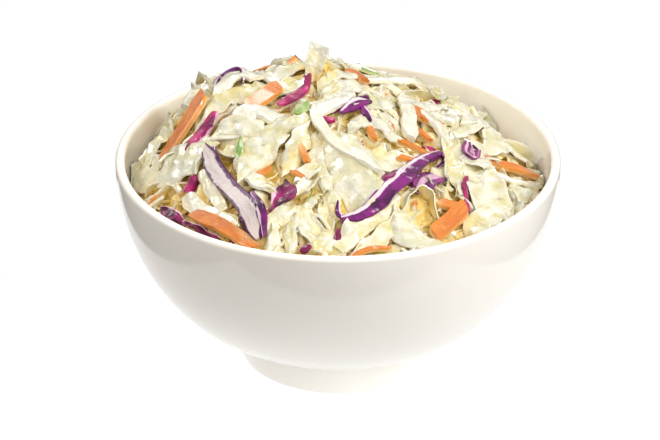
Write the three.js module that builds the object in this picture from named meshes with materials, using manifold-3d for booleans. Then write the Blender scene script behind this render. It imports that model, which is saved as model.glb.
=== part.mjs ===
// Coleslaw heaped in a round footed bowl. Millimetres, +Z up, origin on the table under the
// bowl's centre, -Y towards the person eating.

import * as THREE from 'three';
import { mergeVertices } from 'three/addons/utils/BufferGeometryUtils.js';
import Module from 'manifold-3d';

const wasm = await Module();
wasm.setup();

// Bowl: sizes of the glazed pot.
const RIM_R = 75;
const BOWL_HEIGHT = 74.6;
const LIP_THICKNESS = 3.2;
const BODY_LOW_Z = 7.4;
const SIDE_POWER = 1.94;
const ROUND_POWER = 2.79;
const FLOOR_Z = 13;
const FOOT_R = 33.4;
const FOOT_HEIGHT = 11.1;
const FOOT_EDGE = 1.3;
const FOOT_RING_WIDTH = 5;
const FOOT_RECESS = 3;
const BOWL_SIDES = 64;
const OUTER_STEPS = 7;
const INNER_STEPS = 9;
const LIP_STEPS = 5;

// Heap: its outline over the bowl, and how far the core lies under it.
const HEAP_R = 71.5;
const PEAK_Z = 94.7;
const EDGE_Z = 60.8;
const EDGE_RISE_X = 1.7;
const EDGE_RISE_Y = -3.3;
const PEAK_X = -21.7;
const PEAK_Y = 19.6;
const MOUND_POWER = 2.34;
const CORE_DROP = 2;
const WALL_GAP = 0.8;
const CORE_SIDES = 36;
const CORE_TOP_RINGS = 6;
const CORE_WALL_RINGS = 5;
const CORE_TIP = 0.06;
const LUMPS = [
  { size: 1.3, alongX: 0.14, alongY: 0.05, shift: 0.6 },
  { size: 1.0, alongX: -0.06, alongY: 0.17, shift: 2.1 },
  { size: 0.7, alongX: 0.23, alongY: 0.21, shift: 4.4 },
];

// Kinds of shred, with the sizes they are cut to.
const CARROT = { width: 4.4, thickness: 2.4, lift: 0.8, steps: 3 };
const RED_STRIP = { width: 4.2, thickness: 2.2, lift: 0.9, steps: 5 };
const RED_THIN = { width: 2.4, thickness: 1.8, lift: 0.8, steps: 3 };
const RIB = { width: 5, thickness: 2.4, lift: 0.9, steps: 3 };
const HERB = { width: 3.4, thickness: 1.2, lift: 0.8, steps: 2 };
const LEAF = { width: 15, thickness: 1.5, lift: 0.7, steps: 4, wave: 1 };
const LEAF_ACROSS = 3;
const WAVE_ACROSS = 4;
const WAVE_ALONG = 9;

// Pieces that show on the heap: kind, plan path from end to end, and any size of their own.
// A third number in a path point is the height over the core.
const SHOWN = [
  { kind: RIB, path: [[-9, 17, 0], [-8, 20, 5], [-6, 24, 11.2]], width: 5, roll: 0.3 },
  { kind: CARROT, path: [[-20, 29], [-14, 35]], width: 3.6 },
  { kind: RED_THIN, path: [[-42, 14], [-37, 26, 2], [-32, 20]], width: 3 },
  { kind: CARROT, path: [[-45, 9], [-50, 0], [-59, -8]], width: 5.4 },
  { kind: RED_STRIP, path: [[-41, -3], [-43, -9], [-50, -16]], width: 4.2 },
  { kind: CARROT, path: [[-20, 13], [-24, 6], [-31, -3]], width: 6.2 },
  { kind: RED_THIN, path: [[-20, 1], [-15, 4], [-12, 11], [-10, 23]], width: 4, steps: 5 },
  { kind: HERB, path: [[-14, -6], [-10, -1]], width: 5 },
  { kind: HERB, path: [[-33, -28], [-32, -21]], width: 3 },
  { kind: HERB, path: [[8, 33], [14, 32]], width: 3 },
  { kind: HERB, path: [[-11, -46], [-8, -39]], width: 2 },
  { kind: LEAF, path: [[-68, 2], [-57, -14], [-43, -21]], width: 15 },
  { kind: RIB, path: [[-50, -30], [-44, -39], [-33, -50]], width: 6.4 },
  { kind: RED_STRIP, path: [[-45, -15], [-41, -28], [-34, -40], [-27, -57]], width: 5.6 },
  { kind: HERB, path: [[-50, -30], [-47, -27]], width: 3 },
  { kind: RED_THIN, path: [[-58, -31], [-50, -40], [-38, -52]], width: 3.4 },
  { kind: CARROT, path: [[-47, -39], [-38, -49], [-27, -58]], width: 6.2 },
  { kind: LEAF, path: [[-22, -49], [-17, -36]], width: 8, steps: 3 },
  { kind: CARROT, path: [[-13, -17], [-10, -26]], width: 2.8 },
  { kind: CARROT, path: [[-27, -33], [-22, -30]], width: 2.4 },
  { kind: CARROT, path: [[-15, -31], [-10, -35]], width: 2.6 },
  { kind: RED_STRIP, path: [[-2, -3], [4, 2], [11, 11]], width: 5 },
  { kind: RED_THIN, path: [[4, 1], [8, 0], [11, -6]], width: 3 },
  { kind: CARROT, path: [[4, 30], [9, 24]], width: 4 },
  { kind: RIB, path: [[7, 27], [17, 33], [27, 39]], width: 6.5 },
  { kind: RIB, path: [[23, 26], [24, 10], [24, -4]], width: 5.6 },
  { kind: CARROT, path: [[27, 15], [35, 7]], width: 3 },
  { kind: CARROT, path: [[20, -8], [30, -7]], width: 2.6 },
  { kind: RED_STRIP, path: [[1, -48], [8, -46], [16, -37], [24, -21], [34, -4]], width: 5.8, steps: 7 },
  { kind: LEAF, path: [[26, -29], [35, -17]], width: 7.6, steps: 3 },
  { kind: LEAF, path: [[-5, -17], [4, -28], [13, -38]], width: 19 },
  { kind: RIB, path: [[-9, -3], [1, -21], [14, -30]], width: 4, lift: 1.6 },
  { kind: RED_THIN, path: [[21, -41], [27, -32], [33, -38]], width: 2.4 },
  { kind: CARROT, path: [[42, -31], [36, -40], [31, -49]], width: 6.2 },
  { kind: RED_THIN, path: [[44, 6], [46, -4]], width: 4 },
  { kind: RED_THIN, path: [[43, -12], [42, -21], [43, -32]], width: 2.2 },
  { kind: CARROT, path: [[54, 0], [68, 4]], width: 3.6 },
  { kind: LEAF, path: [[46, -4], [49, -17], [52, -32]], width: 12 },
  { kind: LEAF, path: [[49, 8], [57, 14], [66, 12]], width: 11 },
  { kind: CARROT, path: [[3, -60], [17, -56]], width: 2.4 },
  { kind: LEAF, path: [[-44, 2], [-36, 9], [-27, 11]], width: 8 },
  { kind: LEAF, path: [[-40, -15], [-23, -18]], width: 9.5, steps: 3 },
  { kind: LEAF, path: [[-33, -34], [-18, -21]], width: 11, steps: 3 },
  { kind: LEAF, path: [[-25, -23], [-11, -8]], width: 11, steps: 3 },
  { kind: RIB, path: [[-9, -5], [-2, 1], [5, 10]], width: 8.4 },
  { kind: RIB, path: [[-34, -13], [-28, -9], [-19, -9]], width: 8 },
];

// Turn that lays pieces of the front behind the mound, and how far back they then have to lie.
const BACK_TURN = 2.9;
const BACK_CLEAR = 30;

// Plain cabbage shreds laid between them.
const SHRED_COUNT = 44;
const SHRED_SEED = 158380;
const SHRED_SPREAD_R = 63;
const SHRED_TURN = 2.4;
const SHRED_LENGTH = [14, 30];
const SHRED_WIDTH = [2.6, 6.4];
const SHRED_THICKNESS = [1.3, 2.2];
const SHRED_LIFT = [0.2, 1.4];
const SHRED_BEND = 5;
const SHRED_ROLL = 0.7;
const SHRED_STEPS = 2;
const END_DIP = 1.6;
const SHORT_PIECE = 9;
const TAPER = 0.75;

const DRAW_FACTOR = 16807;
const DRAW_RANGE = 2147483647;
const MERGE = 1e-4;
const TIDY = 0.1;
const SLOPE_STEP = 0.5;

const BOWL_COLOUR = '#f0ebe3';
const SLAW_COLOUR = '#e9e2bd';

/** Radius of a rounded pot side at height z, for a side that ends at rimR over lowZ. */
function sideRadius(z, rimR, lowZ) {
  const down = Math.min(1, Math.max(0, (BOWL_HEIGHT - z) / (BOWL_HEIGHT - lowZ)));
  return rimR * (1 - down ** SIDE_POWER) ** (1 / ROUND_POWER);
}

const innerRadius = (z) => sideRadius(z, RIM_R - LIP_THICKNESS, FLOOR_Z);

/** Radius and height on the same side at a turn from the rim, 0, to the middle, a quarter. */
function sidePoint(turn, rimR, lowZ) {
  const r = rimR * Math.max(0, Math.cos(turn)) ** (2 / ROUND_POWER);
  return [r, BOWL_HEIGHT - (BOWL_HEIGHT - lowZ) * Math.sin(turn) ** (2 / SIDE_POWER)];
}

/** Turn at which that side is at height z. */
function turnAt(z, lowZ) {
  return Math.asin(((BOWL_HEIGHT - z) / (BOWL_HEIGHT - lowZ)) ** (SIDE_POWER / 2));
}

/** Turns a closed geometry into a solid, without its collapsed triangles. */
function solidOf(geometry) {
  const bare = geometry.clone();
  bare.deleteAttribute('normal');
  bare.deleteAttribute('uv');
  const merged = mergeVertices(bare, MERGE);
  const index = merged.index.array;
  const kept = [];
  for (let i = 0; i < index.length; i += 3) {
    const [a, b, c] = [index[i], index[i + 1], index[i + 2]];
    if (a !== b && b !== c && c !== a) kept.push(a, b, c);
  }
  return new wasm.Manifold(new wasm.Mesh({
    numProp: 3,
    vertProperties: new Float32Array(merged.attributes.position.array),
    triVerts: new Uint32Array(kept),
  }));
}

/** Closed solid through rings of points; a ring's first half faces its second half. */
function loft(rings) {
  const count = rings[0].length;
  const corners = [];
  const face = (...points) => points.forEach((p) => corners.push(p.x, p.y, p.z));
  for (let row = 0; row + 1 < rings.length; row += 1) {
    for (let k = 0; k < count; k += 1) {
      const next = (k + 1) % count;
      face(rings[row][k], rings[row][next], rings[row + 1][next]);
      face(rings[row][k], rings[row + 1][next], rings[row + 1][k]);
    }
  }
  const last = rings[rings.length - 1];
  for (let k = 0; k + 1 < count / 2; k += 1) {
    const across = count - 1 - k;
    face(rings[0][k], rings[0][across - 1], rings[0][k + 1]);
    face(rings[0][k], rings[0][across], rings[0][across - 1]);
    face(last[k], last[k + 1], last[across - 1]);
    face(last[k], last[across - 1], last[across]);
  }
  const geometry = new THREE.BufferGeometry();
  geometry.setAttribute('position', new THREE.Float32BufferAttribute(corners, 3));
  return solidOf(geometry);
}

/** Bowl turned from one profile: foot ring, side, rolled lip, inner side and floor. */
function bowlSolid() {
  const profile = [
    [0, FOOT_RECESS],
    [FOOT_R - FOOT_RING_WIDTH - FOOT_RECESS, FOOT_RECESS],
    [FOOT_R - FOOT_RING_WIDTH, 0],
    [FOOT_R - FOOT_EDGE, 0],
    [FOOT_R - FOOT_EDGE * (1 - Math.SQRT1_2), FOOT_EDGE * (1 - Math.SQRT1_2)],
    [FOOT_R, FOOT_EDGE],
    [FOOT_R, FOOT_HEIGHT],
  ];
  const lipR = LIP_THICKNESS / 2;
  const lipZ = BOWL_HEIGHT - lipR;
  const seamTurn = turnAt(FOOT_HEIGHT, BODY_LOW_Z);
  const outerLipTurn = turnAt(lipZ, BODY_LOW_Z);
  for (let i = 1; i <= OUTER_STEPS; i += 1) {
    const turn = seamTurn + (outerLipTurn - seamTurn) * i / OUTER_STEPS;
    profile.push(sidePoint(turn, RIM_R, BODY_LOW_Z));
  }
  for (let i = 1; i < LIP_STEPS; i += 1) {
    const turn = Math.PI * i / LIP_STEPS;
    profile.push([RIM_R - lipR + lipR * Math.cos(turn), lipZ + lipR * Math.sin(turn)]);
  }
  const innerLipTurn = turnAt(lipZ, FLOOR_Z);
  for (let i = 0; i <= INNER_STEPS; i += 1) {
    const turn = innerLipTurn + (Math.PI / 2 - innerLipTurn) * i / INNER_STEPS;
    profile.push(sidePoint(turn, RIM_R - LIP_THICKNESS, FLOOR_Z));
  }
  return solidOf(new THREE.LatheGeometry(profile.map(([r, z]) => new THREE.Vector2(r, z)), BOWL_SIDES)
    .rotateX(Math.PI / 2));
}

/** Height of the core's uneven top over a plan point. */
function coreTop(x, y) {
  const r = Math.hypot(x, y);
  const pull = Math.max(0, 1 - (r / HEAP_R) ** 2);
  const away = Math.min(1, Math.hypot(x - PEAK_X * pull, y - PEAK_Y * pull) / HEAP_R);
  const edge = EDGE_Z + (EDGE_RISE_X * x + EDGE_RISE_Y * y) / HEAP_R;
  const mound = (PEAK_Z - EDGE_Z) * (1 - away ** MOUND_POWER);
  const lumps = LUMPS.reduce(
    (sum, { size, alongX, alongY, shift }) => sum + size * Math.sin(alongX * x + alongY * y + shift), 0);
  return edge + mound + lumps - CORE_DROP;
}

/** Core that fills the bowl up to the heap's slopes. */
function coreSolid() {
  const rings = [];
  for (let row = 0; row <= CORE_TOP_RINGS + CORE_WALL_RINGS; row += 1) {
    const ring = [];
    for (let k = 0; k < CORE_SIDES; k += 1) {
      const turn = -2 * Math.PI * (k + 0.5) / CORE_SIDES;
      const [c, s] = [Math.cos(turn), Math.sin(turn)];
      const edgeZ = coreTop(HEAP_R * c, HEAP_R * s);
      if (row <= CORE_TOP_RINGS) {
        const r = (innerRadius(edgeZ) - WALL_GAP) * Math.max(CORE_TIP, row / CORE_TOP_RINGS);
        ring.push(new THREE.Vector3(r * c, r * s, row === CORE_TOP_RINGS ? edgeZ : coreTop(r * c, r * s)));
      } else {
        const edgeTurn = turnAt(edgeZ, FLOOR_Z);
        const down = (row - CORE_TOP_RINGS) / (CORE_WALL_RINGS + CORE_TIP);
        const sideTurn = edgeTurn + (Math.PI / 2 - edgeTurn) * down;
        const [wallR, z] = sidePoint(sideTurn, RIM_R - LIP_THICKNESS, FLOOR_Z);
        const r = wallR - WALL_GAP;
        ring.push(new THREE.Vector3(r * c, r * s, z + WALL_GAP * down));
      }
    }
    rings.push(ring);
  }
  return loft(rings);
}

/** Moves a point in from the bowl's wall. */
function clearOfWall(point) {
  const most = innerRadius(Math.min(point.z, BOWL_HEIGHT)) - WALL_GAP;
  const r = Math.hypot(point.x, point.y);
  if (r > most) point.set(point.x * most / r, point.y * most / r, point.z);
  return point;
}

/** Outward normal of the core's top. */
function coreNormal(x, y) {
  const dx = coreTop(x + SLOPE_STEP, y) - coreTop(x - SLOPE_STEP, y);
  const dy = coreTop(x, y + SLOPE_STEP) - coreTop(x, y - SLOPE_STEP);
  return new THREE.Vector3(-dx, -dy, 2 * SLOPE_STEP).normalize();
}

/** One shred or leaf laid along a plan path, its ends tucked into the core. */
function piece({ kind, path, width = kind.width, lift = kind.lift, steps = kind.steps, roll = 0 }) {
  const { thickness, wave = 0 } = kind;
  const points = path.map(([x, y, up = lift]) => new THREE.Vector3(x, y, coreTop(x, y) + up));
  const curve = new THREE.CatmullRomCurve3(points, false, 'centripetal');
  const dip = Math.min(END_DIP, END_DIP * curve.getLength() / SHORT_PIECE / 2);
  const across = wave ? LEAF_ACROSS : 1;
  const rings = [];
  for (let i = 0; i <= steps; i += 1) {
    const along = i / steps;
    const middle = curve.getPoint(along);
    const edge = Math.abs(2 * along - 1);
    middle.z -= i === 0 || i === steps ? dip : 0;
    const forward = curve.getTangent(along);
    const up = coreNormal(middle.x, middle.y);
    up.addScaledVector(forward, -up.dot(forward)).normalize().applyAxisAngle(forward, roll);
    const side = new THREE.Vector3().crossVectors(up, forward);
    const half = width / 2 * (edge > TAPER ? TAPER : 1);
    const at = (u, v) => middle.clone()
      .addScaledVector(side, u * half)
      .addScaledVector(up, v * thickness / 2 + wave * Math.sin(WAVE_ACROSS * u + WAVE_ALONG * along + width));
    const low = Array.from({ length: across + 1 }, (_, k) => at(2 * k / across - 1, -1));
    const high = Array.from({ length: across + 1 }, (_, k) => at(1 - 2 * k / across, 1));
    rings.push([...low, ...high].map(clearOfWall));
  }
  return loft(rings);
}

/** Pieces turned round the bowl's axis that come to lie wholly behind the mound. */
function behind(pieces) {
  const [c, s] = [Math.cos(BACK_TURN), Math.sin(BACK_TURN)];
  const turned = pieces.map(({ path, ...rest }) => {
    return { ...rest, path: path.map(([x, y, ...up]) => [c * x - s * y, s * x + c * y, ...up]) };
  });
  return turned.filter(({ path }) => path.every(([, y]) => y > BACK_CLEAR));
}

/** Repeatable random numbers from 0 to 1. */
function drawsFrom(seed) {
  let state = seed;
  return () => {
    state = (state * DRAW_FACTOR) % DRAW_RANGE;
    return state / DRAW_RANGE;
  };
}

/** Cabbage shreds spread evenly over the mound on a sunflower spiral, each turned at random. */
function shreds() {
  const draw = drawsFrom(SHRED_SEED);
  const between = ([low, high]) => low + (high - low) * draw();
  return Array.from({ length: SHRED_COUNT }, (_, i) => {
    const out = SHRED_SPREAD_R * Math.sqrt((i + 0.5) / SHRED_COUNT);
    const round = i * SHRED_TURN;
    const [x, y] = [out * Math.cos(round), out * Math.sin(round)];
    const half = between(SHRED_LENGTH) / 2;
    const bend = SHRED_BEND * (draw() - 0.5);
    const turn = Math.PI * draw();
    const [c, s] = [Math.cos(turn), Math.sin(turn)];
    const kind = { thickness: between(SHRED_THICKNESS) };
    return piece({
      kind,
      path: [[x - half * c, y - half * s], [x - bend * s, y + bend * c], [x + half * c, y + half * s]],
      width: between(SHRED_WIDTH),
      lift: between(SHRED_LIFT),
      steps: SHRED_STEPS,
      roll: SHRED_ROLL * (2 * draw() - 1),
    });
  });
}

/** Core and pieces joined; sealed hollows are filled and loose scraps are dropped. */
function coleslawSolid() {
  const joined = wasm.Manifold.union([coreSolid(), ...[...SHOWN, ...behind(SHOWN)].map(piece), ...shreds()]);
  const bodies = joined.simplify(TIDY).decompose();
  return bodies.reduce((best, body) => (body.volume() > best.volume() ? body : best));
}

/** Named mesh of a solid. */
function meshOf(name, solid, material) {
  const { vertProperties, triVerts } = solid.getMesh();
  const geometry = new THREE.BufferGeometry();
  geometry.setAttribute('position', new THREE.BufferAttribute(vertProperties, 3));
  geometry.setIndex(new THREE.BufferAttribute(triVerts, 1));
  geometry.computeVertexNormals();
  const mesh = new THREE.Mesh(geometry, new THREE.MeshStandardMaterial({ name, ...material }));
  mesh.name = name;
  return mesh;
}

const part = new THREE.Group();
part.name = 'coleslaw_bowl';
part.add(
  meshOf('bowl', bowlSolid(), { color: BOWL_COLOUR, roughness: 0.12, metalness: 0 }),
  meshOf('coleslaw', coleslawSolid(), { color: SLAW_COLOUR, roughness: 0.4, metalness: 0 }),
);

export default part;
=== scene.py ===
"""Coleslaw heaped in a round footed bowl: the looks of the part.

Sizes are millimetres until a mesh is made, +Z up, origin on the table under the bowl's centre.
"""

import math

import bpy
import numpy as np
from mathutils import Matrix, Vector


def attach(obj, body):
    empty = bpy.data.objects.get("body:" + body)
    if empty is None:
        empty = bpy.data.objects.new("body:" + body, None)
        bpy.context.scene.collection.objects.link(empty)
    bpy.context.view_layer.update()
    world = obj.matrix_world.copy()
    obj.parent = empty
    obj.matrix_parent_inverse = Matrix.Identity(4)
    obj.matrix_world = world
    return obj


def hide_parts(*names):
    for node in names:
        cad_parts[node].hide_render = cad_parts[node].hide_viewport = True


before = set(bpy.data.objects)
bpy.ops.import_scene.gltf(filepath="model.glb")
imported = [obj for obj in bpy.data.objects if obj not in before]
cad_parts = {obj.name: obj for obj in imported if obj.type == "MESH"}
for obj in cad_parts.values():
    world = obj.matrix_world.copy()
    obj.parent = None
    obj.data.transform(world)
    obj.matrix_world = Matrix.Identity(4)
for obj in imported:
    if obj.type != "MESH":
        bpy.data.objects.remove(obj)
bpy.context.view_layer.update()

MM = 0.001
SEED = 41

# Bowl.
RIM_R = 75.0
BOWL_HEIGHT = 74.6
LIP_THICKNESS = 3.2
INNER_R = RIM_R - LIP_THICKNESS
BODY_LOW_Z = 7.4
SIDE_POWER = 1.94
ROUND_POWER = 2.79
FLOOR_Z = 13.0
FOOT_R = 33.4
FOOT_HEIGHT = 11.1
FOOT_EDGE = 1.3
FOOT_RING_WIDTH = 5.0
FOOT_RECESS = 3.0
SEAM_FILLET = 0.5
SEAM_STEP = 0.35
BOWL_SIDES = 192
SIDE_ROWS = 60

# Heap: its outline over the bowl.
HEAP_R = 71.5
PEAK_Z = 94.7
EDGE_Z = 60.8
EDGE_RISE_X = 1.7
EDGE_RISE_Y = -3.3
PEAK_X = -21.7
PEAK_Y = 19.6
MOUND_POWER = 2.34
WALL_GAP = 0.6
LUMPS = ((1.3, 0.14, 0.05, 0.6), (1.0, -0.06, 0.17, 2.1), (0.7, 0.23, 0.21, 4.4))

# Core: the heap's body under the loose pieces.
CORE_DEPTH = 2.8
CORE_ROUGH = 0.9
CORE_TOP_ROWS = 40
CORE_WALL_ROWS = 24
CORE_SIDES = 128

# Loose pieces: their spread, pitch, bend, lift over the short bumps and tilt, and the steep back.
SPREAD_R = 69.5
GOLDEN_TURN = 2.39996
PITCH = 0.25
BEND = 0.12
HILL_LIFT = 1.6
TILT = 0.5
JAG_RUN = 4.2
BATCH = 500
STEEP_FROM_Y = 5.0
STEEP_NORMAL = 0.82

# Back of the heap: the turn that carries pieces there, how far back they lie, and its white corner.
BACK_TURN = 2.9
BACK_CLEAR_Y = 30.0
WHITE_CORNER_X = 20.0
WHITE_CORNER_Y = 30.0

# Grid of the pieces' height.
TOP_CELL = 3.0
TOP_CELLS = 52

# A piece's cell of the bake map: its sides from 0, its two end caps from 0.88 and 0.94.
SIDES_SHARE = 0.86
CAP_SHARE = 0.04
CAPS_AT = (0.88, 0.94)
CELL_SHARE = 0.92
CELL_MARGIN = 0.04
PATTERN_STEP = 37.0
PALER = 0.6
SHARP_ANGLE = 24.0

# Stage.
TABLE_HALF = 120.0
TABLE_DROP = 0.05
AIM_Z = 0.07
CAMERA_AT = (-0.002683, -1.062256, 0.607464)
CAMERA_TILT = 27.722
SENSOR_WIDTH = 36.0
LENS = 192.26


def side_radius(z, rim_r, low_z):
    """Radius of the bowl's side at height z: r / rim = (1 - down^1.94)^(1/2.79)."""
    down = np.clip((BOWL_HEIGHT - z) / (BOWL_HEIGHT - low_z), 0.0, 1.0)
    return rim_r * (1.0 - down**SIDE_POWER) ** (1.0 / ROUND_POWER)


def side_points(turns, rim_r, low_z):
    """The same side as (radius, height) at turns from 0, the rim, to a quarter, the middle."""
    r = rim_r * np.maximum(np.cos(turns), 0.0) ** (2.0 / ROUND_POWER)
    z = BOWL_HEIGHT - (BOWL_HEIGHT - low_z) * np.sin(turns) ** (2.0 / SIDE_POWER)
    return np.stack([r, z], -1)


def turn_at(z, low_z):
    """Turn at which that side is at height z."""
    return math.asin(((BOWL_HEIGHT - z) / (BOWL_HEIGHT - low_z)) ** (SIDE_POWER / 2))


def heap_z(x, y):
    """Height of the heap's outline: an off-centre mound, peak - rise * away^2.34, plus long lumps."""
    r = np.hypot(x, y)
    pull = np.clip(1.0 - (r / HEAP_R) ** 2, 0.0, 1.0)
    away = np.clip(np.hypot(x - PEAK_X * pull, y - PEAK_Y * pull) / HEAP_R, 0.0, 1.0)
    edge = EDGE_Z + (EDGE_RISE_X * x + EDGE_RISE_Y * y) / HEAP_R
    lumps = sum(size * np.sin(ax * x + ay * y + shift) for size, ax, ay, shift in LUMPS)
    return edge + (PEAK_Z - EDGE_Z) * (1.0 - away**MOUND_POWER) + lumps


def heap_normal(x, y):
    """Unit normal of the heap's outline, from its slopes over a millimetre."""
    dx = heap_z(x + 0.5, y) - heap_z(x - 0.5, y)
    dy = heap_z(x, y + 0.5) - heap_z(x, y - 0.5)
    return unit(np.stack([-dx, -dy, np.ones_like(dx)], -1))


def unit(vectors):
    """The vectors at length 1."""
    return vectors / np.linalg.norm(vectors, axis=-1, keepdims=True)


def clear_of_wall(points):
    """Points moved in from the bowl's wall, each straight towards the axis."""
    most = side_radius(np.minimum(points[..., 2], BOWL_HEIGHT), INNER_R, FLOOR_Z) - WALL_GAP
    r = np.hypot(points[..., 0], points[..., 1])
    scale = np.minimum(1.0, most / np.maximum(r, 1e-6))
    return np.concatenate([points[..., :2] * scale[..., None], points[..., 2:]], -1)


def mesh_object(name, points, quads, material, smooth=True):
    """One object from points in millimetres and rows of four corner numbers, smooth where told."""
    mesh = bpy.data.meshes.new(name)
    mesh.vertices.add(len(points))
    mesh.vertices.foreach_set("co", (points * MM).astype(np.float32).ravel())
    mesh.loops.add(quads.size)
    mesh.loops.foreach_set("vertex_index", quads.astype(np.int32).ravel())
    mesh.polygons.add(len(quads))
    mesh.polygons.foreach_set("loop_start", np.arange(0, quads.size, 4, dtype=np.int32))
    mesh.polygons.foreach_set("use_smooth", np.broadcast_to(smooth, len(quads)).copy())
    mesh.update(calc_edges=True)
    mesh.materials.append(material)
    made = bpy.data.objects.new(name, mesh)
    bpy.context.scene.collection.objects.link(made)
    return made


def joined_rows(index):
    """Quads between neighbouring rows of point numbers, each row closed on itself."""
    after = np.roll(index, -1, axis=-1)
    return np.stack([index[..., :-1, :], after[..., :-1, :], after[..., 1:, :], index[..., 1:, :]], -1)


# ---- materials ----


def colour(code):
    """sRGB hex to linear RGBA."""
    parts = [int(code[i : i + 2], 16) / 255 for i in (1, 3, 5)]
    return [c / 12.92 if c <= 0.04045 else ((c + 0.055) / 1.055) ** 2.4 for c in parts] + [1.0]


def add(tree, kind, inputs=(), out=0, **settings):
    """Adds a node with its settings and its sockets' values or links, and gives one of its outputs."""
    made = tree.nodes.new("ShaderNode" + kind)
    for key, value in settings.items():
        setattr(made, key, value)
    for socket, value in dict(inputs).items():
        if isinstance(value, bpy.types.NodeSocket):
            tree.links.new(value, made.inputs[socket])
        else:
            made.inputs[socket].default_value = value
    return made.outputs[out] if made.outputs else None


# A Mix node's two colour inputs, and its settings and output for colours.
MIX_A, MIX_B = 6, 7
COLOURS = {"out": 2, "data_type": "RGBA"}


def features(size):
    """Noise scale for features of that many millimetres: one over the size in metres."""
    return 1.0 / (size * MM)


def new_tree(name):
    """An empty node material and its tree."""
    made = bpy.data.materials.new(name)
    made.use_nodes = True
    made.node_tree.nodes.clear()
    return made, made.node_tree


def shown(tree, base, roughness, height, relief, **finish):
    """Ends a material: the surface shader with that colour, roughness and relief in metres."""
    bump = add(tree, "Bump", {"Height": height, "Distance": relief, "Strength": 1.0})
    surface = add(tree, "BsdfPrincipled", {"Base Color": base, "Roughness": roughness, "Normal": bump})
    for socket, value in finish.items():
        surface.node.inputs[socket.replace("_", " ")].default_value = value
    add(tree, "OutputMaterial", {"Surface": surface})


def glaze():
    """Glazed white stoneware, dipped and fired: a warm white glass coat, glossy, whose tone and gloss
    drift over 36 mm, with a faint peel of 7 mm."""
    made, tree = new_tree("white_glaze")
    place = add(tree, "TexCoord", out="Object")
    cloud = add(tree, "TexNoise", {"Vector": place, "Scale": features(35.7), "Detail": 2.0})
    base = add(tree, "Mix", {0: cloud, MIX_A: colour("#F3EFE7"), MIX_B: colour("#F7F4ED")}, **COLOURS)
    peel = add(tree, "TexNoise", {"Vector": place, "Scale": features(6.67), "Detail": 1.0})
    rough = add(tree, "MapRange", {"Value": cloud, "To Min": 0.09, "To Max": 0.15})
    shown(tree, base, rough, peel, 0.00004, Subsurface_Weight=0.06, Subsurface_Scale=0.002)
    return made


# Per millimetre along, across and through a piece: veins 5.2 mm long and 1.2 mm apart, and streaks
# 6 mm long and 0.6 mm apart, which is coarser than real ones, so that they show.
VEINS_PER_MM = (0.192, 0.84, 0.48)
STREAKS_PER_MM = (0.168, 1.68, 0.56)


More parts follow.
